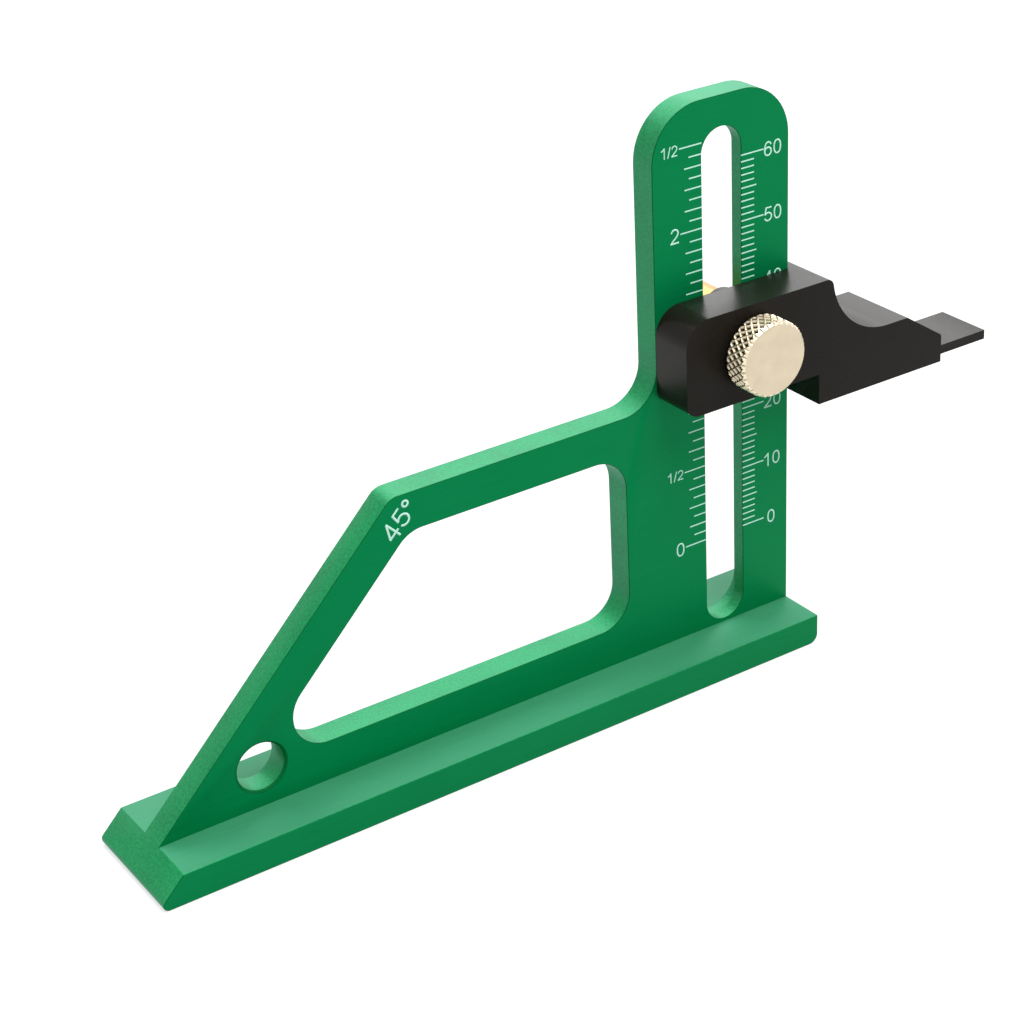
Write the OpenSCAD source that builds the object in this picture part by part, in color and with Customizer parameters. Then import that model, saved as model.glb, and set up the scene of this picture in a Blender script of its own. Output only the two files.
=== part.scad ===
// Woodworking depth gauge, in millimetres.
// X runs along the base towards the pointer, Y towards the back, Z up.
// The origin lies in the middle of the base's underside, on the plate's centre plane.

/* [Base] */
// Length of the base, measured to the sharp tip of its 45 degree end
base_len = 115.8; // [112:0.1:125]
// Width of the base from front to back
base_w = 19.9; // [16:0.1:30]
// Thickness of the base flange
base_t = 4.8; // [4:0.1:6]
// Radius on the tip of the 45 degree end
tip_r = 0.9; // [0.3:0.1:1.5]
// Radius under the square end
heel_r = 1.5; // [0.5:0.1:3]

/* [Plate] */
// Thickness of the upright plate
plate_t = 4.5; // [4:0.1:6]
// Height of the shoulder above the underside
shoulder_h = 45.5; // [40:0.5:50]
// Radius where the sloping edge meets the shoulder
shoulder_r = 3; // [1:0.5:6]
// Radius where the shoulder meets the column
root_r = 6; // [2:0.5:8]
// Width of the rim between the window and the plate's edges
rim_w = 6; // [5:0.1:8]
// Height of the window's lower edge above the base flange
sill_h = 6.3; // [5:0.1:8]
// Radius of the window's corners
window_r = 5.4; // [3:0.1:6]

/* [Column] */
// Width of the column that carries the slider
column_w = 24.6; // [22:0.1:28]
// Height of the column above the underside
column_h = 90.3; // [88:0.1:110]
// Radius of the column's top corners
column_r = 8.4; // [2:0.1:10]

/* [Slot] */
// Width of the slot that guides the slider
slot_w = 7.1; // [6.2:0.1:8]
// Metal left above the slot
slot_crown = 4.65; // [4.2:0.05:5.5]
// Height of the slot's lower end above the base flange
slot_foot = 0.55; // [0.3:0.05:0.6]
// Width of the wider channel behind the slot
channel_w = 10.6; // [10:0.1:11]
// Depth of that channel, from the back of the plate
channel_d = 2.25; // [1.5:0.05:2.6]

/* [Hanging hole] */
// Diameter of the hanging hole
hole_d = 7.5; // [5:0.1:8]
// Distance from the sloping edge to the hole's centre
hole_in = 7.4; // [6.5:0.1:7.6]
// Height of the hole's centre above the base flange
hole_up = 6.3; // [5.5:0.1:7]
// Width of the chamfer round each mouth of the hole
hole_bevel = 0.3; // [0.1:0.1:0.6]

/* [Slider] */
// Reading that the slider is set to
reading = 41.2; // [0:0.1:60]
// Drop from the slider's reading edge to the pointer's underside
drop = 19.7; // [19:0.1:21]
// Thickness of the slider in front of the plate
slider_front = 7.35; // [6:0.05:10]
// How far the slider reaches behind the plate's back
slider_back = 1.75; // [0:0.05:3]
// Radius of the slider's upper left corner
brow_r = 4.3; // [1:0.1:5]
// Radius of the slider's lower left corner
chin_r = 2.2; // [0.5:0.1:4]
// Radius of the slider's upper right corner
nose_r = 1.3; // [0.3:0.1:1.5]
// Width of the slider's top beyond the column
top_run = 2.5; // [2:0.1:5]
// How far the foot of the scoop's wall lies beyond its top
scoop_lean = 1.5; // [0:0.1:2]
// Length of the pointer beyond the column
pointer_len = 24.5; // [22:0.1:30]
// Height of the pointer at its flat top
pointer_h = 9.3; // [9:0.1:11]
// Height of the pointer at its end
end_h = 4.5; // [3.5:0.1:6]
// Length of the bevel down to the pointer's end
bevel_run = 7.1; // [5:0.1:8]
// Radius between that bevel and the end
end_r = 0.8; // [0.2:0.1:1.5]
// Length of the tongue beyond the pointer
tongue_len = 9.1; // [5:0.1:15]
// Width of the tongue from front to back
tongue_w = 9.5; // [6:0.1:13]
// Thickness of the tongue
tongue_t = 1.5; // [1:0.1:2]
// Height of the tongue above the pointer's underside
tongue_up = 1.25; // [0:0.05:1.4]
// Depth of the guide key that runs in the slot
key_d = 0.8; // [0.6:0.1:1.6]
// Height of the key's lower end above the slider's underside
key_up = 0.6; // [0.6:0.1:1.5]

/* [Thumb screw] */
// Diameter of the knurled head
head_d = 11.6; // [9:0.1:13]
// Thickness of the head
head_t = 4.2; // [3:0.1:6]
// Width of the chamfer round the head's face
head_bevel = 0.4; // [0.2:0.1:0.6]
// Number of knurl ridges that run each way round the head
knurl_count = 30; // [20:1:40]
// Depth of the knurl
knurl_d = 0.35; // [0.2:0.05:0.5]
// Diameter of the plain neck behind the head
neck_d = 8; // [6:0.1:9]
// Thickness of that neck
neck_t = 0.5; // [0.3:0.1:1]
// Diameter of the threaded stud
stud_d = 4; // [3:0.1:5]
// Length of stud that shows behind the nut
stud_out = 0.75; // [0.5:0.05:1.5]
// Drop from the reading edge to the screw's axis
screw_drop = 7.2; // [6.9:0.1:7.4]

/* [Clamp nut] */
// Diameter of the nut's round body
nut_d = 11.7; // [11.2:0.1:13]
// How far the nut stands out behind the plate
nut_out = 6; // [4:0.1:9]
// Width of the chamfer round the nut's free end
nut_bevel = 0.5; // [0.2:0.1:1]

/* [Fits] */
// Gap between the slider and the faces it runs on
slide_gap = 0.05; // [0.03:0.01:0.1]
// Gap on each side of the key and of the nut's foot
key_gap = 0.1; // [0.05:0.01:0.15]
// Gap between the stopped slider and the base flange
stop_gap = 0.1; // [0.05:0.05:0.3]
// Radial clearance round the stud in the slider
stud_gap = 0.08; // [0.05:0.01:0.1]
// Radial clearance between the stud's and the nut's threads
thread_gap = 0.05; // [0.02:0.01:0.08]

/* [Hidden] */
$fn = 96;

// Overrun that lets each cut leave the metal cleanly
over = 1;
// Number of flat steps in each corner of an outline
arc_steps = 16;
// Rows of knurl between the head's two plain rims
knurl_rows = 4;

// Places along X
left_x = -base_len / 2;
right_x = base_len / 2;
column_x = right_x - column_w;
slot_x = right_x - column_w / 2;

// Places along Y
plate_front = -plate_t / 2;
plate_back = plate_t / 2;
slider_face = plate_front - slider_front;
slider_seat = plate_front - slide_gap;
ledge_y = plate_back - channel_d;
nut_end = plate_back + nut_out;

// Places along Z
slot_low = base_t + slot_foot;
slot_high = column_h - slot_crown;
channel_low = base_t + slot_foot / 2;
channel_high = slot_high + (channel_w - slot_w) / 2;
slider_top = reading + drop;
slider_low = reading + base_t + stop_gap;
screw_z = slider_top - screw_drop;
hole_z = base_t + hole_up;
hole_x = left_x + hole_z + hole_in * sqrt(2);

// Outline corners are written as x, z and corner radius
plate_corners = [
    [left_x, 0, tip_r],
    [right_x, 0, heel_r],
    [right_x, column_h, column_r],
    [column_x, column_h, column_r],
    [column_x, shoulder_h, root_r],
    [left_x + shoulder_h, shoulder_h, shoulder_r]
];
base_corners = [
    [left_x, 0, tip_r],
    [right_x, 0, heel_r],
    [right_x, base_t, 0],
    [left_x + base_t, base_t, 0]
];

// The window follows the plate's edges at one rim width
window_low = base_t + sill_h;
window_high = shoulder_h - rim_w;
window_right = column_x - rim_w;
slope_x = left_x + rim_w * sqrt(2);
window_corners = [
    [slope_x + window_low, window_low, window_r],
    [window_right, window_low, window_r],
    [window_right, window_high, window_r],
    [slope_x + window_high, window_high, window_r]
];

// The scoop runs from the slider's top corner down to the pointer's flat top
pointer_end = right_x + pointer_len;
pointer_top = reading + pointer_h;
scoop_x = right_x + top_run;
scoop_rise = drop - pointer_h;
scoop_half = 45 + atan(scoop_lean / scoop_rise) / 2;
scoop_r = norm([scoop_lean, scoop_rise]) * tan(scoop_half) - nose_r;
step_x = right_x + slide_gap;
slider_corners = [
    [column_x, slider_low, chin_r],
    [step_x, slider_low, 0],
    [step_x, reading, 0],
    [pointer_end, reading, 0],
    [pointer_end, reading + end_h, end_r],
    [pointer_end - bevel_run, pointer_top, 0],
    [scoop_x + scoop_lean, pointer_top, scoop_r],
    [scoop_x, slider_top, nose_r],
    [column_x, slider_top, brow_r]
];

// Rounds the corner q between its neighbours p and s, by its own radius
function corner_arc(p, q, s) =
    let (at = [q[0], q[1]],
         u = unit([p[0], p[1]] - at),
         w = unit([s[0], s[1]] - at),
         half = acos(u * w) / 2,
         centre = at + unit(u + w) * q[2] / sin(half),
         start = at + u * q[2] / tan(half) - centre,
         end = at + w * q[2] / tan(half) - centre,
         a = atan2(start[1], start[0]),
         b = atan2(end[1], end[0]),
         turn = (b - a + 540) % 360 - 180)
    q[2] == 0 ? [at]
    : [for (i = [0:arc_steps]) centre + q[2] * [cos(a + turn * i / arc_steps), sin(a + turn * i / arc_steps)]];

function unit(v) = v / norm(v);

// Rounds every corner of an outline
function rounded(c) =
    [for (i = [0:len(c) - 1]) each corner_arc(c[(i + len(c) - 1) % len(c)], c[i], c[(i + 1) % len(c)])];

// Extrudes a front view along Y, from one depth to another
module slab(front, back)
    translate([0, back, 0]) rotate([90, 0, 0]) linear_extrude(back - front) children();

// Stands a turned shape on the screw's axis, its own Z pointing to the back
module on_screw_axis(y)
    translate([slot_x, y, screw_z]) rotate([-90, 0, 0]) children();

// Front view of a straight slot with round ends
module round_ended(x, low, high, w) {
    translate([x - w / 2, low + w / 2]) square([w, high - low - w]);
    translate([x, low + w / 2]) circle(d = w);
    translate([x, high - w / 2]) circle(d = w);
}

// Hanging hole with a chamfer at both mouths
module hanging_hole()
    translate([hole_x, 0, hole_z]) rotate([90, 0, 0]) {
        cylinder(h = plate_t + 2 * over, d = hole_d, center = true);
        for (side = [0, 1]) mirror([0, 0, side]) translate([0, 0, plate_t / 2 - hole_bevel])
            cylinder(h = 2 * hole_bevel, d1 = hole_d, d2 = hole_d + 4 * hole_bevel);
    }

// Inverted T with a window, a slot for the screw, and a wider channel behind the slot
module gauge_frame() {
    color("#0a7d49") difference() {
        union() {
            slab(-base_w / 2, base_w / 2) polygon(rounded(base_corners));
            slab(plate_front, plate_back) polygon(rounded(plate_corners));
        }
        slab(plate_front - over, plate_back + over) polygon(rounded(window_corners));
        slab(plate_front - over, plate_back + over) round_ended(slot_x, slot_low, slot_high, slot_w);
        slab(ledge_y, plate_back + over) round_ended(slot_x, channel_low, channel_high, channel_w);
        hanging_hole();
    }
}

// One milled block: front cheek, pointer beside the column, tongue and guide key
module slider() {
    color("#262422") {
        difference() {
            slab(slider_face, plate_back + slider_back) polygon(rounded(slider_corners));
            translate([column_x - over, slider_seat, slider_low - over])
                cube([column_w + over + slide_gap, base_w, drop + over]);
            on_screw_axis(slider_face - over)
                cylinder(h = slider_front + 2 * over, d = stud_d + 2 * stud_gap);
        }
        difference() {
            slab(slider_seat - key_d, plate_front + key_d)
                round_ended(slot_x, slider_low + key_up, slider_top, slot_w - 2 * key_gap);
            on_screw_axis(slider_face) cylinder(h = base_w, d = stud_d + 2 * stud_gap);
        }
        translate([pointer_end - tongue_t, slider_face, reading + tongue_up])
            cube([tongue_len + tongue_t, tongue_w, tongue_t]);
    }
}

// Head with a diamond knurl: ridges cross at the even points, the odd points are pits,
// and a plain ring at each end makes the chamfer
module knurled_head(d, h, bevel) {
    count = 2 * knurl_count;
    last = knurl_rows + 2;
    function at(i, j) = (i % count) + j * count;
    function ring_r(i, j) = j == 0 || j == last ? d / 2 - bevel : d / 2 - (i + j) % 2 * knurl_d;
    function ring_z(j) = j == 0 ? 0 : j == last ? h : bevel + (h - 2 * bevel) * (j - 1) / knurl_rows;
    points = [for (j = [0:last], i = [0:count - 1]) let (a = 360 * i / count)
        [ring_r(i, j) * cos(a), ring_r(i, j) * sin(a), ring_z(j)]];
    walls = [for (j = [0:last - 1], i = [0:count - 1])
        each (i + j) % 2 == 0
            ? [[at(i, j), at(i + 1, j + 1), at(i + 1, j)], [at(i, j), at(i, j + 1), at(i + 1, j + 1)]]
            : [[at(i, j), at(i, j + 1), at(i + 1, j)], [at(i + 1, j), at(i, j + 1), at(i + 1, j + 1)]]];
    front_face = [for (i = [0:count - 1]) at(i, 0)];
    back_face = [for (i = [count - 1:-1:0]) at(i, last)];
    polyhedron(points, concat(walls, [front_face, back_face]));
}

// Knurled head, turned in one piece with its neck and stud
module thumb_screw() {
    stud_len = nut_end - slider_face + stud_out;
    seat = head_t + neck_t;
    color("#d9d2c4") on_screw_axis(slider_face - seat) {
        knurled_head(head_d, head_t, head_bevel);
        translate([0, 0, head_t / 2]) {
            cylinder(h = seat - head_t / 2, d = neck_d);
            cylinder(h = seat - head_t / 2 + stud_len - knurl_d, d = stud_d);
        }
        translate([0, 0, seat + stud_len - knurl_d])
            cylinder(h = knurl_d, d1 = stud_d, d2 = stud_d - 2 * knurl_d);
    }
}

// Brass nut: a round body behind the plate, with two flats on its foot in the channel
module clamp_nut() {
    foot_w = channel_w - 2 * key_gap;
    foot_y = ledge_y + key_gap;
    color("#d9a441") difference() {
        union() {
            intersection() {
                on_screw_axis(foot_y) cylinder(h = nut_out, d = nut_d);
                translate([slot_x - foot_w / 2, foot_y, screw_z - nut_d])
                    cube([foot_w, plate_back - foot_y + nut_bevel, 2 * nut_d]);
            }
            on_screw_axis(plate_back) {
                cylinder(h = nut_out - nut_bevel, d = nut_d);
                translate([0, 0, nut_out - nut_bevel])
                    cylinder(h = nut_bevel, d1 = nut_d, d2 = nut_d - 2 * nut_bevel);
            }
        }
        on_screw_axis(ledge_y) cylinder(h = nut_end - ledge_y + over, d = stud_d + 2 * thread_gap);
    }
}

gauge_frame();
slider();
thumb_screw();
clamp_nut();
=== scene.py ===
"""Woodworking depth gauge: the finishes, scales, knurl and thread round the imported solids."""
import math

import bmesh
import bpy
from mathutils import Matrix, Vector


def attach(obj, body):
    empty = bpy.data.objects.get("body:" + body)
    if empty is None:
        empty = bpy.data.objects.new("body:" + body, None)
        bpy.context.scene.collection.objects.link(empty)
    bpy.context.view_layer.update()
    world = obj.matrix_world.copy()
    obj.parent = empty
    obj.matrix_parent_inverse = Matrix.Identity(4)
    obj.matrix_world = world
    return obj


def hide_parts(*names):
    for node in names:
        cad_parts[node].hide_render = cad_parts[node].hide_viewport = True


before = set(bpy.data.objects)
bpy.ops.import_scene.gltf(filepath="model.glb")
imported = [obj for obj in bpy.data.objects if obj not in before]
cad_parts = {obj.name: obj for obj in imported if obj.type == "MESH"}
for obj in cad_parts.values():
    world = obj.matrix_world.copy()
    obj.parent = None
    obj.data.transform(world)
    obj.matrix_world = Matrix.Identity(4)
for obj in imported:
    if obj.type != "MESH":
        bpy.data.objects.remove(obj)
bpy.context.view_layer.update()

MM = 0.001

# Camera, in millimetres and degrees: it looks down on the scale face from the left
CAMERA_AT = (-150.667, -253.548, 192.892)
CAMERA_YAW, CAMERA_PITCH, CAMERA_ROLL = 32.133, -27.732, -3.247
LENS, SENSOR = 82.39, 36.0
CLIP = (0.01, 20.0)  # in metres

# Sizes that the solids already have, in millimetres
PLATE_FRONT = -2.25
SLOT_X, SLOT_W = 45.6, 7.1
FLANGE_TOP = 4.8
HOLE_X, HOLE_Z, HOLE_R = -36.335, 11.1, 3.75
SCREW_Z = 53.7
HEAD_FACE, HEAD_R, HEAD_T, HEAD_BEVEL = -14.3, 5.8, 4.2, 0.4
NECK_R, NECK_T = 4.0, 0.5
STUD_R, STUD_END, STUD_PITCH = 2.0, 9.0, 0.7

# Broken edges: their width, and the angles in degrees above which an edge is broken, below
# which two faces are one, and above which a shaded edge of the milled pieces or of the screw
# stays sharp
EDGE_BREAK = 0.1
EDGE_ANGLE, FLAT_ANGLE, CREASE_ANGLE, SCREW_CREASE = 25, 0.2, 20, 28

# How near two points must lie to be welded, in the solids and where a wrapped grid closes, and
# how near to a plane a point must lie to count as on it
WELD, SEAM_WELD, NEAR = 0.0005, 0.001, 0.01

# Frame: cosine above which a face is square to an axis, how near to the flange top's level a
# face belongs to it, and how near to the hole's wall and how far turned out of it a face is the
# hole's chamfer
SQUARE, TOP_REACH = 0.99, 0.15
CHAMFER_REACH, CHAMFER_LEAN = 0.6, 0.4

# Knurl: ridges that run each way round the head, diamonds along it, depth of its pits, how
# high a ridge is cut off (1 is its crest, 0 half way to the next), and where a pit's floor begins
KNURL_RIDGES, KNURL_DIAMONDS, KNURL_DEPTH, RIDGE_TOP, KNURL_FLOOR = 30, 2.5, 0.4, 0.86, 0.25
COLUMNS_PER_RIDGE, KNURL_ROWS = 12, 30

# Stud: depth of its thread, bevel of its end, and how far it begins inside the neck
THREAD_DEPTH, THREAD_BEVEL, STUD_SINK = 0.4, 0.35, 0.2
THREAD_COLUMNS, ROWS_PER_TURN = 40, 8

# Scales: height of both zeros, size of a mark's line, and for each scale its count and pitch,
# the side of the slot it is on, its lengths of mark, and which marks are middle and long ones
SCALE_ZERO = 20.5
MARK_W, MARK_RISE = 0.2, 0.012
INCH = 25.4
METRIC = dict(count=61, pitch=1.0, side=1.0, lengths=(2.35, 2.75, 4.1), every=(5.0, 10.0))
INCHES = dict(count=41, pitch=INCH / 16, side=-1.0, lengths=(2.3, 3.1, 3.95), every=(2.0, 8.0))

# Numerals: how many labels each scale has, cap heights, how far a label's middle hangs below
# its mark, where its ink begins or ends beside the marks, and for the angle the foot and turn
METRIC_LABELS, INCH_LABELS = 7, 6
METRIC_CAPS, INCH_CAPS, HALF_CAPS, ANGLE_CAPS = 2.25, 2.35, 1.65, 3.15
LABEL_DROP = 0.13
METRIC_INK, METRIC_ZERO_INK, INCH_INK = 53.35, 54.0, 37.82
ANGLE_AT, ANGLE_TURN = (-12.44, 38.33), 45.0

# Lamps, in metres and watts: the point they are aimed at, and each one's place, size and power
LAMP_AIM = (0, 0, 0.04)
LAMPS = (("softbox_behind", (0.36, 0.62, 0.735), 1.4, 9.4),
         ("softbox_above", (0.122, -0.583, 1.24), 0.9, 14.5))

# Surroundings: strength of the white world as fill light and as seen, and for the floor its
# grey, the glow that is seen near and far, the distances between which it fades, and its square
WORLD_FILL, WORLD_SEEN = 0.6, 1.0
FLOOR_GREY, FLOOR_NEAR, FLOOR_FAR = 0.35, 0.66, 1.0
FLOOR_FADE = (0.4, 1.2)
FLOOR_REACH, FLOOR_Z = 3.0, -0.00005


# ------------------------------------------------------------------ materials

# The part of a noise's range that carries nearly all of its values
NOISE_SPAN = (0.3, 0.7)

# The phase of a wave texture, in radians, across one unit of its scale
WAVE_PHASE = 20.0

# The mix node's two colour inputs and its colour output, which share names with its others
MIX_A, MIX_B, MIX_RESULT = 6, 7, 2


def new_material(name):
    material = bpy.data.materials.new(name)
    material.use_nodes = True
    nodes, links = material.node_tree.nodes, material.node_tree.links
    nodes.clear()
    shader = nodes.new("ShaderNodeBsdfPrincipled")
    output = nodes.new("ShaderNodeOutputMaterial")
    links.new(shader.outputs["BSDF"], output.inputs["Surface"])
    return material, nodes, links, shader


def noise_of(nodes, links, scale, detail=2.0, stretch=(1.0, 1.0, 1.0)):
    """Noise on object coordinates; stretch draws it out along an axis where it is small."""
    where = nodes.new("ShaderNodeTexCoord")
    mapping = nodes.new("ShaderNodeMapping")
    mapping.inputs["Scale"].default_value = stretch
    noise = nodes.new("ShaderNodeTexNoise")
    noise.inputs["Scale"].default_value = scale
    noise.inputs["Detail"].default_value = detail
    links.new(where.outputs["Object"], mapping.inputs["Vector"])
    links.new(mapping.outputs["Vector"], noise.inputs["Vector"])
    return noise.outputs["Fac"]


def ramp_of(nodes, links, noise, low, high):
    """Colour that runs from low to high over the noise's span."""
    ramp = nodes.new("ShaderNodeValToRGB")
    for element, position, colour in zip(ramp.color_ramp.elements, NOISE_SPAN, (low, high)):
        element.position, element.color = position, (*colour, 1)
    links.new(noise, ramp.inputs["Fac"])
    return ramp.outputs["Color"]


def range_of(nodes, links, factor, low, high, span=NOISE_SPAN):
    """Value that runs from low to high while the factor runs over its span."""
    remap = nodes.new("ShaderNodeMapRange")
    ends = (("From Min", span[0]), ("From Max", span[1]), ("To Min", low), ("To Max", high))
    for name, value in ends:
        remap.inputs[name].default_value = value
    links.new(factor, remap.inputs["Value"])
    return remap.outputs["Result"]


def bump_of(nodes, links, height, distance, strength=1.0):
    """Relief whose full height is the distance, in millimetres."""
    bump = nodes.new("ShaderNodeBump")
    bump.inputs["Strength"].default_value = strength
    bump.inputs["Distance"].default_value = distance * MM
    links.new(height, bump.inputs["Height"])
    return bump.outputs["Normal"]


def mix_of(nodes, links, factor, first, second):
    """Mix of two colours; each of them and the factor may be a socket or a plain value."""
    mix = nodes.new("ShaderNodeMix")
    mix.data_type = "RGBA"
    for place, value in (("Factor", factor), (MIX_A, first), (MIX_B, second)):
        if isinstance(value, bpy.types.NodeSocket):
            links.new(value, mix.inputs[place])
        else:
            mix.inputs[place].default_value = value
    return mix.outputs[MIX_RESULT]


def anodised(name, dark, light, rough, tint, level, grain, grain_depth,
             metal=0.0, stretch=(1.0, 1.0, 1.0)):
    """Dyed oxide on aluminium: fine grain breaks up its reflection, which whitens at low angles."""
    mottle, mottle_share, rough_spread = 90.0, 0.3, 0.05
    material, nodes, links, shader = new_material(name)
    shader.inputs["Metallic"].default_value = metal
    shader.inputs["Specular Tint"].default_value = (*tint, 1)
    shader.inputs["Specular IOR Level"].default_value = level
    fine = noise_of(nodes, links, grain, detail=3.0, stretch=stretch)
    wide = noise_of(nodes, links, mottle)
    colour = mix_of(nodes, links, mottle_share, ramp_of(nodes, links, fine, dark, light),
                    ramp_of(nodes, links, wide, dark, light))
    links.new(colour, shader.inputs["Base Color"])
    roughness = range_of(nodes, links, fine, rough - rough_spread, rough + rough_spread)
    links.new(roughness, shader.inputs["Roughness"])
    links.new(bump_of(nodes, links, fine, grain_depth), shader.inputs["Normal"])
    return material


def turned_metal(name, dark, light, rough, ring_step, ring_depth):
    """Plated or bare metal with rings of turning round the screw's axis, and painted shade in its
    pits.

    ring_step is the radius, in millimetres, that one radian of the rings' wave takes up. The
    painted shade grows over shaded_depths, in shares of the full depth of a knurl or thread."""
    stain_scale, smoother, rougher = 420.0, 0.03, 0.04
    # Painted shade: the pits of the knurl and thread darken towards this colour as they deepen
    pit_shade, shaded_depths = (0.035, 0.03, 0.022, 1), (0.1, 0.75)
    material, nodes, links, shader = new_material(name)
    shader.inputs["Metallic"].default_value = 1.0
    where = nodes.new("ShaderNodeTexCoord")
    mapping = nodes.new("ShaderNodeMapping")
    mapping.inputs["Location"].default_value = (-SLOT_X * MM, 0, -SCREW_Z * MM)
    links.new(where.outputs["Object"], mapping.inputs["Vector"])
    rings = nodes.new("ShaderNodeTexWave")
    rings.wave_type, rings.rings_direction = "RINGS", "Y"
    rings.inputs["Scale"].default_value = 1.0 / (WAVE_PHASE * ring_step * MM)
    rings.inputs["Distortion"].default_value = 0.6
    links.new(mapping.outputs["Vector"], rings.inputs["Vector"])
    stain = noise_of(nodes, links, stain_scale, detail=3.0)
    pit = nodes.new("ShaderNodeAttribute")
    pit.attribute_name = "pit"
    # How far each point's colour goes towards the painted shade of the pits
    shaded_share = range_of(nodes, links, pit.outputs["Fac"], 0.0, 1.0, span=shaded_depths)
    colour = mix_of(nodes, links, shaded_share, ramp_of(nodes, links, stain, dark, light), pit_shade)
    links.new(colour, shader.inputs["Base Color"])
    roughness = range_of(nodes, links, stain, rough - smoother, rough + rougher)
    links.new(roughness, shader.inputs["Roughness"])
    relief = bump_of(nodes, links, rings.outputs["Fac"], ring_depth, strength=0.6)
    links.new(relief, shader.inputs["Normal"])
    return material


def engraving_fill(name, colour):
    """Flat paint with a fine speck."""
    speck_scale, speck_shade = 5000.0, 0.9
    material, nodes, links, shader = new_material(name)
    speck = noise_of(nodes, links, speck_scale)
    shade = [c * speck_shade for c in colour]
    links.new(ramp_of(nodes, links, speck, shade, colour), shader.inputs["Base Color"])
    shader.inputs["Roughness"].default_value = 0.6
    return material


# Draws the grinding marks of a flat face out along the base
ALONG = (0.12, 4.0, 4.0)

GREEN_FACE = anodised(
    "green_ground_face", dark=(0.0, 0.198, 0.060), light=(0.001, 0.224, 0.070), rough=0.42,
    tint=(0.0, 0.3, 0.1), level=0.3, grain=900.0, grain_depth=0.002, metal=0.3, stretch=ALONG)
# Flange top: a lighter, whiter copy of the frame's green, which is partly painted sheen, with
# little reflection of its own
GREEN_FLANGE_SHEEN = anodised(
    "green_flange_top_painted_sheen", dark=(0.038, 0.240, 0.118), light=(0.046, 0.272, 0.136), rough=0.5,
    tint=(0.3, 1.0, 0.8), level=0.2, grain=900.0, grain_depth=0.003, stretch=ALONG)
GREEN_EDGE = anodised(
    "green_blasted_edge", dark=(0.0, 0.132, 0.026), light=(0.01, 0.312, 0.080), rough=0.42,
    tint=(0.3, 1.0, 1.0), level=0.65, grain=2800.0, grain_depth=0.018, metal=0.25)
# Broken edges and the hole's chamfer: a darker copy of the frame's green, painted dark reflection
# along those edges
GREEN_CUT_DARKENED = anodised(
    "green_broken_edge_painted_dark", dark=(0.0, 0.095, 0.024), light=(0.0, 0.14, 0.038), rough=0.45,
    tint=(0.1, 0.4, 0.1), level=0.3, grain=2600.0, grain_depth=0.004)
BLACK = anodised(
    "black_blasted", dark=(0.009, 0.0072, 0.0057), light=(0.0145, 0.012, 0.0097), rough=0.32,
    tint=(0.02, 0.02, 0.02), level=0.4, grain=6000.0, grain_depth=0.004)
# One nickel plate in two copies: the knurl, neck and stud take a lighter one, whose extra
# brightness is painted highlight, and the turned face a darker one, which is painted shade that
# dims its reflection
NICKEL_HIGHLIGHTED = turned_metal(
    "nickel_plate", dark=(0.80, 0.69, 0.50), light=(0.92, 0.80, 0.60), rough=0.3,
    ring_step=0.12, ring_depth=0.002)
SHADED_FACE_PLATING = turned_metal(
    "nickel_turned_face_painted_shade", dark=(0.59, 0.505, 0.37), light=(0.66, 0.57, 0.42), rough=0.34,
    ring_step=0.12, ring_depth=0.002)
BRASS = turned_metal(
    "turned_brass", dark=(0.52, 0.29, 0.075), light=(0.64, 0.375, 0.115), rough=0.34,
    ring_step=0.15, ring_depth=0.004)
MARKING = engraving_fill("engraved_white", (0.6, 1.0, 0.85))

# Finishes of the frame, in the order of its material slots; the darker broken edges carry painted
# dark reflection and the lighter flange top partly painted sheen
FACE, BLASTED, FLANGE, CUT = range(4)
FRAME_FINISHES = (GREEN_FACE, GREEN_EDGE, GREEN_FLANGE_SHEEN, GREEN_CUT_DARKENED)


# --------------------------------------------------------------------- pieces

def add_object(name, mesh, body):
    piece = bpy.data.objects.new(name, mesh)
    bpy.context.scene.collection.objects.link(piece)
    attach(piece, body)
    return piece


def broken_edge_copy(node, name, finish=-1):
    """The node's solid as one mesh with its outside edges broken, which may get another finish."""
    shape = bmesh.new()
    shape.from_mesh(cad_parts[node].data)
    bmesh.ops.remove_doubles(shape, verts=shape.verts, dist=WELD * MM)
    bmesh.ops.dissolve_limit(
        shape, angle_limit=math.radians(FLAT_ANGLE), verts=shape.verts, edges=shape.edges)
    least = math.radians(EDGE_ANGLE)
    sharp = [e for e in shape.edges
             if len(e.link_faces) == 2 and e.is_convex and e.calc_face_angle() > least]
    bmesh.ops.bevel(
        shape, geom=sharp, offset=EDGE_BREAK * MM, segments=2, profile=0.5, affect="EDGES",
        clamp_overlap=True, material=finish)
    mesh = bpy.data.meshes.new(name)
    shape.to_mesh(mesh)
    shape.free()
    for face in mesh.polygons:
        face.use_smooth = True
    mesh.set_sharp_from_angle(angle=math.radians(CREASE_ANGLE))
    return mesh


def frame_finish(face):
    """Finish of one face: flange top, ground sides, broken edges and the hole's chamfer, and the
    blasted rest. The broken edges and the chamfer take a darker green, which is painted dark
    reflection, and the flange top a lighter, whiter green, which is partly painted sheen. The
    broken edges round the flange top are blasted too."""
    at_flange_top = abs(face.center.z - FLANGE_TOP * MM) < TOP_REACH * MM
    # Broken edges take the darker green of painted dark reflection, except round the flange top
    if face.material_index == CUT:
        return BLASTED if at_flange_top else CUT
    if face.normal.z > SQUARE and at_flange_top:
        return FLANGE
    if abs(face.normal.y) > SQUARE:
        return FACE
    from_hole = math.hypot(face.center.x - HOLE_X * MM, face.center.z - HOLE_Z * MM)
    in_reach = from_hole < (HOLE_R + CHAMFER_REACH) * MM
    # The hole's chamfer takes that painted dark reflection too
    chamfered = in_reach and abs(face.normal.y) > CHAMFER_LEAN
    return CUT if chamfered else BLASTED


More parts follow.
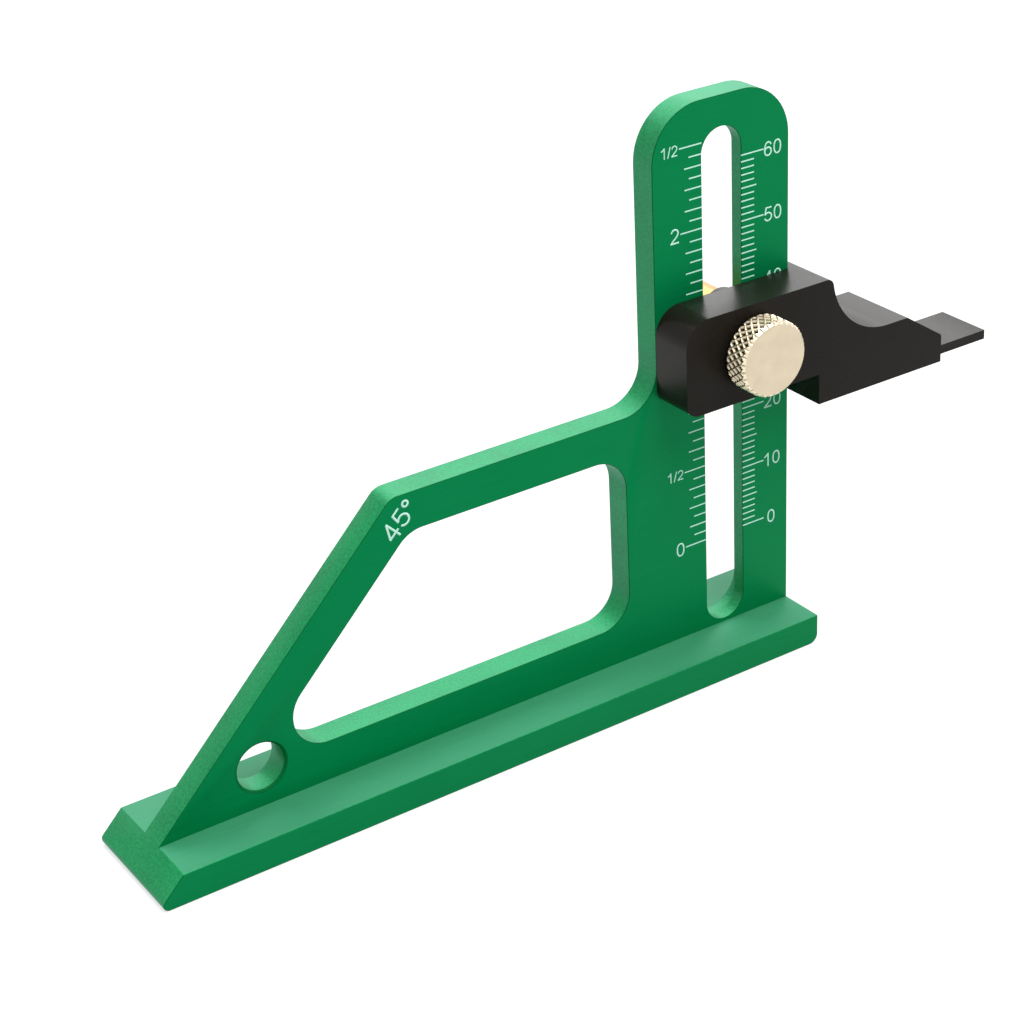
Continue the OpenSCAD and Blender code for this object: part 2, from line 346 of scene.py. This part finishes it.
frame_mesh = broken_edge_copy("gauge_frame", "anodised_frame", CUT)
for finish in FRAME_FINISHES:
    frame_mesh.materials.append(finish)
for face in frame_mesh.polygons:
    face.material_index = frame_finish(face)
anodised_frame = add_object("anodised_frame", frame_mesh, "frame")
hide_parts("gauge_frame")

slider_mesh = broken_edge_copy("slider", "anodised_slider")
slider_mesh.materials.append(BLACK)
anodised_slider = add_object("anodised_slider", slider_mesh, "slider")
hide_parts("slider")

nut_mesh = broken_edge_copy("clamp_nut", "brass_nut")
nut_mesh.materials.append(BRASS)
brass_nut = add_object("brass_nut", nut_mesh, "clamp_nut")
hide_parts("clamp_nut")


# ------------------------------------------------------- trees of geometry nodes

class Tree:
    """A small geometry node tree under construction, with named inputs for its sizes."""

    def __init__(self, name, inputs):
        self.group = bpy.data.node_groups.new(name, "GeometryNodeTree")
        sockets = self.group.interface
        for label, kind in inputs:
            sockets.new_socket(name=label, in_out="INPUT", socket_type="NodeSocket" + kind)
        sockets.new_socket(name="Geometry", in_out="OUTPUT", socket_type="NodeSocketGeometry")
        self.size = self.group.nodes.new("NodeGroupInput").outputs
        self.result = self.group.nodes.new("NodeGroupOutput").inputs["Geometry"]

    def add(self, kind, values=None, **settings):
        node = self.group.nodes.new(kind)
        for key, value in settings.items():
            setattr(node, key, value)
        for socket, value in (values or {}).items():
            if isinstance(value, bpy.types.NodeSocket):
                self.group.links.new(value, node.inputs[socket])
            else:
                node.inputs[socket].default_value = value
        return node.outputs

    def math(self, operation, first, second=0.0):
        return self.add("ShaderNodeMath", {0: first, 1: second}, operation=operation)["Value"]

    def finish(self, geometry, material):
        real = self.add("GeometryNodeRealizeInstances", {"Geometry": geometry})["Geometry"]
        done = self.add("GeometryNodeSetMaterial", {"Geometry": real, "Material": material})
        self.group.links.new(done["Geometry"], self.result)
        return self.group


def mesh_of_tree(group, name, values, points=(), edges=()):
    """Runs a tree once, on nothing or on a drawing of edges; its result becomes a plain mesh."""
    drawing = bpy.data.meshes.new(name)
    drawing.from_pydata(points, edges, [])
    holder = bpy.data.objects.new(name, drawing)
    bpy.context.scene.collection.objects.link(holder)
    modifier = holder.modifiers.new(name, "NODES")
    modifier.node_group = group
    for item in group.interface.items_tree:
        if item.in_out == "INPUT" and item.name in values:
            modifier[item.identifier] = values[item.name]
    seen = holder.evaluated_get(bpy.context.evaluated_depsgraph_get())
    mesh = bpy.data.meshes.new_from_object(seen)
    mesh.name = name
    holder.modifiers.remove(modifier)
    bpy.data.objects.remove(holder)
    bpy.data.meshes.remove(drawing)
    return mesh


# ----------------------------------------------------------------- thumb screw

WRAP_INPUTS = [("Columns", "Int"), ("Rows", "Int"), ("Radius", "Float"), ("Length", "Float"),
               ("Depth", "Float"), ("Pit Floor", "Float"), ("Bevel", "Float"), ("Start", "Vector")]


def wrapped_surface(tree, lift_at):
    """A grid wrapped round the screw's axis, with a pit wherever lift_at is below a ridge's top.

    lift_at gives 1 on a crest and 0 in a root. Each point keeps how deep it lies as "pit"."""
    size = tree.size
    grid = tree.add("GeometryNodeMeshGrid", {
        "Size X": 1.0, "Size Y": 1.0,
        "Vertices X": tree.math("ADD", size["Columns"], 1.0),
        "Vertices Y": tree.math("ADD", size["Rows"], 1.0)})["Mesh"]
    place = tree.add("GeometryNodeInputPosition")["Position"]
    flat = tree.add("ShaderNodeSeparateXYZ", {"Vector": place})
    turn, along = tree.math("ADD", flat["X"], 0.5), tree.math("ADD", flat["Y"], 0.5)
    pit = tree.add("ShaderNodeMapRange", {
        "Value": lift_at(turn, along), "From Min": RIDGE_TOP, "From Max": size["Pit Floor"],
        "To Min": 0.0, "To Max": 1.0})["Result"]
    near_end = tree.math("MINIMUM", along, tree.math("SUBTRACT", 1.0, along))
    to_end = tree.math("MULTIPLY", near_end, size["Length"])
    bevel_cut = tree.math("MAXIMUM", tree.math("SUBTRACT", size["Bevel"], to_end), 0.0)
    pit_cut = tree.math("MULTIPLY", size["Depth"], pit)
    below = tree.math("DIVIDE", tree.math("SUBTRACT", pit_cut, bevel_cut), size["Depth"])
    grid = tree.add("GeometryNodeStoreNamedAttribute", {
        "Geometry": grid, "Name": "pit", "Value": tree.math("MAXIMUM", below, 0.0)},
        data_type="FLOAT", domain="POINT")["Geometry"]
    radius = tree.math("SUBTRACT", size["Radius"], tree.math("MAXIMUM", pit_cut, bevel_cut))
    angle = tree.math("MULTIPLY", turn, -2 * math.pi)
    wrapped = tree.add("ShaderNodeCombineXYZ", {
        "X": tree.math("MULTIPLY", radius, tree.math("COSINE", angle)),
        "Y": tree.math("MULTIPLY", along, size["Length"]),
        "Z": tree.math("MULTIPLY", radius, tree.math("SINE", angle))})["Vector"]
    moved = tree.add("ShaderNodeVectorMath", {0: wrapped, 1: size["Start"]}, operation="ADD")
    skin = tree.add("GeometryNodeSetPosition", {"Geometry": grid, "Position": moved["Vector"]})
    closed = tree.add("GeometryNodeMergeByDistance", {
        "Geometry": skin["Geometry"], "Distance": SEAM_WELD * MM})
    return tree.finish(closed["Geometry"], NICKEL_HIGHLIGHTED)


def ridge(tree, phase):
    """1 where the phase is whole, falling straight to 0 half way between."""
    return tree.math("SUBTRACT", 1.0, tree.math("MULTIPLY", tree.math("PINGPONG", phase, 0.5), 2.0))


def knurl_tree():
    """Two sets of ridges cross at every diamond's corners and leave a pit in each diamond."""
    tree = Tree("diamond_knurl", WRAP_INPUTS + [("Ridges", "Float"), ("Diamonds", "Float")])

    def lift(turn, along):
        round_it = tree.math("MULTIPLY", turn, tree.size["Ridges"])
        along_it = tree.math("MULTIPLY", along, tree.size["Diamonds"])
        left = ridge(tree, tree.math("ADD", round_it, along_it))
        right = ridge(tree, tree.math("SUBTRACT", round_it, along_it))
        return tree.math("MAXIMUM", left, right)

    return wrapped_surface(tree, lift)


def thread_tree():
    """One ridge that climbs by a pitch in each turn."""
    tree = Tree("stud_thread", WRAP_INPUTS + [("Turns", "Float")])

    def lift(turn, along):
        return ridge(tree, tree.math("ADD", tree.math("MULTIPLY", along, tree.size["Turns"]), turn))

    return wrapped_surface(tree, lift)


def end_ring(shape, y):
    """The open edges of a wrapped surface that lie at y."""
    def at_y(v):
        return abs(v.co.y - y * MM) < NEAR * MM

    return [e for e in shape.edges if e.is_boundary and all(map(at_y, e.verts))]


def step_ring(shape, ring, radius, y):
    """Carries an open ring to another radius and place along the axis, with a wall between."""
    made = bmesh.ops.extrude_edge_only(shape, edges=ring)["geom"]
    for v in (g for g in made if isinstance(g, bmesh.types.BMVert)):
        dx, dz = v.co.x - SLOT_X * MM, v.co.z - SCREW_Z * MM
        reach = math.hypot(dx, dz)
        v.co = ((SLOT_X + dx / reach * radius) * MM, y * MM, (SCREW_Z + dz / reach * radius) * MM)
    return [g for g in made if isinstance(g, bmesh.types.BMEdge) and g.is_boundary]


def closed_turning(mesh, first_y, last_y, steps=()):
    """Closes a wrapped surface: a flat face at its first end, steps of (radius, y) at its last."""
    shape = bmesh.new()
    shape.from_mesh(mesh)
    bpy.data.meshes.remove(mesh)
    bmesh.ops.edgeloop_fill(shape, edges=end_ring(shape, first_y))
    ring = end_ring(shape, last_y)
    for radius, y in steps:
        ring = step_ring(shape, ring, radius, y)
    bmesh.ops.edgeloop_fill(shape, edges=ring)
    bmesh.ops.recalc_face_normals(shape, faces=shape.faces)
    return shape


def screw_mesh():
    """Knurled head with its neck, and the threaded stud, as two closed turnings in one mesh."""
    head_back = HEAD_FACE + HEAD_T
    seat = head_back + NECK_T
    knurl = mesh_of_tree(knurl_tree(), "knurl", {
        "Columns": KNURL_RIDGES * COLUMNS_PER_RIDGE, "Rows": KNURL_ROWS,
        "Radius": HEAD_R * MM, "Length": HEAD_T * MM, "Depth": KNURL_DEPTH * MM,
        "Pit Floor": KNURL_FLOOR, "Bevel": HEAD_BEVEL * MM,
        "Start": (SLOT_X * MM, HEAD_FACE * MM, SCREW_Z * MM),
        "Ridges": float(KNURL_RIDGES), "Diamonds": KNURL_DIAMONDS})
    head = closed_turning(knurl, HEAD_FACE, head_back, [(NECK_R, head_back), (NECK_R, seat)])
    stud_start = seat - STUD_SINK
    turns = (STUD_END - stud_start) / STUD_PITCH
    thread = mesh_of_tree(thread_tree(), "thread", {
        "Columns": THREAD_COLUMNS, "Rows": round(turns * ROWS_PER_TURN),
        "Radius": STUD_R * MM, "Length": (STUD_END - stud_start) * MM, "Depth": THREAD_DEPTH * MM,
        "Pit Floor": 0.0, "Bevel": THREAD_BEVEL * MM,
        "Start": (SLOT_X * MM, stud_start * MM, SCREW_Z * MM), "Turns": turns})
    stud = closed_turning(thread, stud_start, STUD_END)
    whole = bpy.data.meshes.new("knurled_screw")
    part = bpy.data.meshes.new("stud")
    stud.to_mesh(part)
    head.from_mesh(part)
    head.to_mesh(whole)
    for turning in (head, stud):
        turning.free()
    bpy.data.meshes.remove(part)
    # The head's front face takes the darker copy of the nickel, which is painted shade
    for finish in (NICKEL_HIGHLIGHTED, SHADED_FACE_PLATING):
        whole.materials.append(finish)
    for face in whole.polygons:
        face.use_smooth = True
        face.material_index = int(face.center.y < (HEAD_FACE + NEAR) * MM)
    whole.set_sharp_from_angle(angle=math.radians(SCREW_CREASE))
    return whole


knurled_screw = add_object("knurled_screw", screw_mesh(), "thumb_screw")
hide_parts("thumb_screw")


# --------------------------------------------------------------------- scales

def scale_tree():
    """Marks at one pitch up the column, with every nth longer and the longest at each label."""
    tree = Tree("scale_marks", [
        ("Count", "Int"), ("Pitch", "Float"), ("Start", "Vector"), ("Side", "Float"),
        ("Short", "Float"), ("Middle", "Float"), ("Long", "Float"),
        ("Middle Every", "Float"), ("Long Every", "Float"), ("Line", "Float"), ("Rise", "Float")])
    size = tree.size
    offset = tree.add("ShaderNodeCombineXYZ", {"Z": size["Pitch"]})["Vector"]
    line = tree.add("GeometryNodeMeshLine", {
        "Count": size["Count"], "Start Location": size["Start"], "Offset": offset})["Mesh"]
    index = tree.add("GeometryNodeInputIndex")["Index"]
    length = size["Short"]
    for every, longer in (("Middle Every", "Middle"), ("Long Every", "Long")):
        hit = tree.math("LESS_THAN", tree.math("MODULO", index, size[every]), 0.5)
        length = tree.add("GeometryNodeSwitch", {
            "Switch": hit, "False": length, "True": size[longer]}, input_type="FLOAT")["Output"]
    bar_size = tree.add("ShaderNodeCombineXYZ", {"X": 1.0, "Y": size["Rise"], "Z": size["Line"]})
    bar = tree.add("GeometryNodeMeshCube", {"Size": bar_size["Vector"]})["Mesh"]
    half = tree.add("ShaderNodeCombineXYZ", {"X": tree.math("MULTIPLY", size["Side"], 0.5)})
    bar = tree.add("GeometryNodeTransform", {"Geometry": bar, "Translation": half["Vector"]})
    stretch = tree.add("ShaderNodeCombineXYZ", {"X": length, "Y": 1.0, "Z": 1.0})
    marks = tree.add("GeometryNodeInstanceOnPoints", {
        "Points": line, "Instance": bar["Geometry"], "Scale": stretch["Vector"]})
    return tree.finish(marks["Instances"], MARKING)


def marks_mesh(marks, name, count, pitch, side, lengths, every):
    """One scale's marks, from the slot's edge outwards on its own side."""
    start = ((SLOT_X + side * SLOT_W / 2) * MM, (PLATE_FRONT - MARK_RISE / 2) * MM, SCALE_ZERO * MM)
    short, middle, long = (length * MM for length in lengths)
    return mesh_of_tree(marks, name, {
        "Count": count, "Pitch": pitch * MM, "Start": start, "Side": side,
        "Short": short, "Middle": middle, "Long": long,
        "Middle Every": every[0], "Long Every": every[1],
        "Line": MARK_W * MM, "Rise": MARK_RISE * MM})


def bow(cx, cy, rx, ry, start, end, steps=20, fullness=1.0):
    """Points round part of an oval, angles in degrees; fullness under 1 squares it a little."""
    points = []
    for step in range(steps + 1):
        angle = math.radians(start + (end - start) * step / steps)
        c, s = (math.copysign(abs(v) ** fullness, v) for v in (math.cos(angle), math.sin(angle)))
        points.append((cx + rx * c, cy + ry * s))
    return points


# Numerals as the engraver's tool draws them: how far each moves the next one on, and its strokes,
# in shares of the cap height. The tool is CUTTER wide, and a stroke whose ends are nearer than
# RING_GAP is a ring. Strokes that cross lie a step apart, in millimetres
CUTTER, RING_GAP, STROKE_STEP = 0.112, 0.001, 0.002
NUMERALS = {
    "0": (0.777, [bow(0.388, 0.5, 0.262, 0.44, 0, 360, 32, 0.88)]),
    "1": (0.777, [
        [(0.47, 0), (0.47, 1)],
        [(0.45, 0.95), (0.38, 0.86), (0.28, 0.78), (0.15, 0.71)]]),
    "2": (0.777, [
        bow(0.385, 0.69, 0.255, 0.25, 170, -28)
        + [(0.53, 0.46), (0.42, 0.355), (0.29, 0.25), (0.18, 0.15), (0.115, 0.07)],
        [(0.055, 0.0625), (0.69, 0.0625)]]),
    "3": (0.777, [
        bow(0.37, 0.725, 0.215, 0.215, 160, -75),
        bow(0.375, 0.295, 0.265, 0.24, 95, -165)]),
    "4": (0.777, [
        [(0.515, 0), (0.515, 1)],
        [(0.5, 0.95), (0.085, 0.31)],
        [(0.045, 0.295), (0.7, 0.295)]]),
    "5": (0.777, [
        [(0.21, 0.9375), (0.66, 0.9375)],
        [(0.225, 0.99), (0.135, 0.47)],
        bow(0.375, 0.325, 0.285, 0.275, 145, -165)]),
    "6": (0.777, [
        bow(0.4, 0.315, 0.265, 0.265, 0, 360, 28),
        [(0.135, 0.34), (0.137, 0.52), (0.165, 0.7), (0.24, 0.85), (0.34, 0.92),
         (0.44, 0.9375), (0.55, 0.9), (0.62, 0.82), (0.635, 0.75)]]),
    "/": (0.388, [[(0.05, 0), (0.34, 1)]]),
    "\u00b0": (0.56, [bow(0.217, 0.765, 0.145, 0.145, 0, 360, 20)]),
}


def stroke_tree():
    """A flat bar of one width and rise along every drawn stroke."""
    tree = Tree("engraved_strokes", [("Drawing", "Geometry"), ("Line", "Float"), ("Rise", "Float")])
    size = tree.size
    paths = tree.add("GeometryNodeMeshToCurve", {"Mesh": size["Drawing"]})["Curve"]
    level = tree.add("GeometryNodeSetCurveNormal", {"Curve": paths}, mode="Z_UP")["Curve"]
    section = tree.add("GeometryNodeCurvePrimitiveQuadrilateral", {
        "Width": size["Line"], "Height": size["Rise"]})
    bars = tree.add("GeometryNodeCurveToMesh", {
        "Curve": level, "Profile Curve": section["Curve"], "Fill Caps": True})["Mesh"]
    return tree.finish(bars, MARKING)


def label_mesh(strokes, text, height, at, hold, turn=0.0):
    """Numerals on the scale face, held by their ink's left or right end beside a mark, or by the
    foot of the first one, round which they may be turned."""
    points, edges, ahead = [], [], 0.0
    for letter in text:
        advance, paths = NUMERALS[letter]
        for layer, path in enumerate(paths):
            closed = math.dist(path[0], path[-1]) < RING_GAP
            first, lift = len(points), layer * STROKE_STEP * MM
            for x, y in path[:-1] if closed else path:
                points.append(((ahead + x) * height * MM, y * height * MM, lift))
            edges += [(i, i + 1) for i in range(first, len(points) - 1)]
            if closed:
                edges.append((len(points) - 1, first))
        ahead += advance
    mesh = mesh_of_tree(strokes, "label", {
        "Line": CUTTER * height * MM, "Rise": MARK_RISE * MM}, points, edges)
    across = [v.co.x for v in mesh.vertices]
    shift = {"left": -min(across), "right": -max(across), "foot": 0.0}[hold]
    drop = 0.0 if hold == "foot" else -(height / 2 + LABEL_DROP) * MM
    place = Matrix.Translation((at[0] * MM, (PLATE_FRONT - MARK_RISE / 2) * MM, at[1] * MM))
    stand = Matrix.Rotation(math.radians(90), 4, "X")
    lean = Matrix.Rotation(math.radians(turn), 4, "Z")
    mesh.transform(place @ stand @ lean @ Matrix.Translation((shift, drop, 0)))
    return mesh


def join_meshes(name, meshes, material):
    whole = bmesh.new()
    for mesh in meshes:
        whole.from_mesh(mesh)
        bpy.data.meshes.remove(mesh)
    joined = bpy.data.meshes.new(name)
    whole.to_mesh(joined)
    whole.free()
    for face in joined.polygons:
        face.material_index = 0
    joined.materials.append(material)
    return joined


marks = scale_tree()
metric = marks_mesh(marks, "metric_marks", **METRIC)
inch = marks_mesh(marks, "inch_marks", **INCHES)
strokes = stroke_tree()
labels = [label_mesh(strokes, "45\u00b0", ANGLE_CAPS, ANGLE_AT, "foot", ANGLE_TURN)]
for tens in range(METRIC_LABELS):
    at = (METRIC_INK if tens else METRIC_ZERO_INK, SCALE_ZERO + tens * 10)
    labels.append(label_mesh(strokes, str(tens * 10), METRIC_CAPS, at, "left"))
for halves in range(INCH_LABELS):
    text, caps = ("1/2", HALF_CAPS) if halves % 2 else (str(halves // 2), INCH_CAPS)
    at = (INCH_INK, SCALE_ZERO + halves * INCH / 2)
    labels.append(label_mesh(strokes, text, caps, at, "right"))
scales_mesh = join_meshes("engraved_scales", [metric, inch, *labels], MARKING)
add_object("engraved_scales", scales_mesh, "frame")


# ---------------------------------------------------------------------- stage

def camera_turn(yaw, pitch, roll):
    """Turn of a camera: yaw from +Y towards +X, then pitch, then roll about its line of view."""
    y, p, r = (math.radians(a) for a in (yaw, pitch, roll))
    view = Vector((math.sin(y) * math.cos(p), math.cos(y) * math.cos(p), math.sin(p)))
    right = view.cross(Vector((0, 0, 1))).normalized()
    up = right.cross(view)
    right, up = math.cos(r) * right + math.sin(r) * up, math.cos(r) * up - math.sin(r) * right
    return Matrix((right, up, -view)).transposed()


lens = bpy.data.cameras.new("camera")
lens.lens, lens.sensor_width, lens.sensor_fit = LENS, SENSOR, "HORIZONTAL"
lens.clip_start, lens.clip_end = CLIP
camera = bpy.data.objects.new("camera", lens)
turn = camera_turn(CAMERA_YAW, CAMERA_PITCH, CAMERA_ROLL).to_4x4()
camera.matrix_world = Matrix.Translation([c * MM for c in CAMERA_AT]) @ turn
bpy.context.scene.collection.objects.link(camera)
bpy.context.scene.camera = camera

for name, at, size, power in LAMPS:
    light = bpy.data.lights.new(name, "AREA")
    light.shape, light.size, light.energy = "DISK", size, power
    lamp = bpy.data.objects.new(name, light)
    lamp.location = at
    lamp.rotation_euler = (Vector(LAMP_AIM) - Vector(at)).to_track_quat("-Z", "Y").to_euler()
    lamp.visible_camera = False
    bpy.context.scene.collection.objects.link(lamp)


def seen_directly(nodes, links):
    """1 for rays from the camera or a glossy or clear surface, 0 for those that bring fill."""
    rays = nodes.new("ShaderNodeLightPath")
    share = rays.outputs["Is Camera Ray"]
    for kind in ("Is Glossy Ray", "Is Transmission Ray"):
        either = nodes.new("ShaderNodeMath")
        either.operation = "MAXIMUM"
        links.new(share, either.inputs[0])
        links.new(rays.outputs[kind], either.inputs[1])
        share = either.outputs[0]
    return share


world = bpy.data.worlds.new("studio")
bpy.context.scene.world = world
world.use_nodes = True
nodes, links = world.node_tree.nodes, world.node_tree.links
background = nodes["Background"]
background.inputs["Color"].default_value = (1, 1, 1, 1)
seen = seen_directly(nodes, links)
strength = range_of(nodes, links, seen, WORLD_FILL, WORLD_SEEN, span=(0.0, 1.0))
links.new(strength, background.inputs["Strength"])

floor_mesh = bpy.data.meshes.new("floor")
signs = ((-1, -1), (1, -1), (1, 1), (-1, 1))
corners = [(x * FLOOR_REACH, y * FLOOR_REACH, FLOOR_Z) for x, y in signs]
floor_mesh.from_pydata(corners, [], [(0, 1, 2, 3)])
floor = bpy.data.objects.new("floor", floor_mesh)
bpy.context.scene.collection.objects.link(floor)
floor_material, nodes, links, shader = new_material("pale_floor")
shader.inputs["Roughness"].default_value = 0.9
shader.inputs["Specular IOR Level"].default_value = 0.0
shader.inputs["Base Color"].default_value = (FLOOR_GREY, FLOOR_GREY, FLOOR_GREY, 1)
shader.inputs["Emission Color"].default_value = (1, 1, 1, 1)
where, away, glow = (nodes.new("ShaderNode" + kind) for kind in ("TexCoord", "VectorMath", "Math"))
away.operation, glow.operation = "LENGTH", "MULTIPLY"
links.new(where.outputs["Object"], away.inputs[0])
faded = range_of(nodes, links, away.outputs["Value"], FLOOR_NEAR, FLOOR_FAR, span=FLOOR_FADE)
links.new(faded, glow.inputs[0])
links.new(seen_directly(nodes, links), glow.inputs[1])
links.new(glow.outputs[0], shader.inputs["Emission Strength"])
floor_mesh.materials.append(floor_material)

bpy.context.scene.view_settings.view_transform = "Standard"
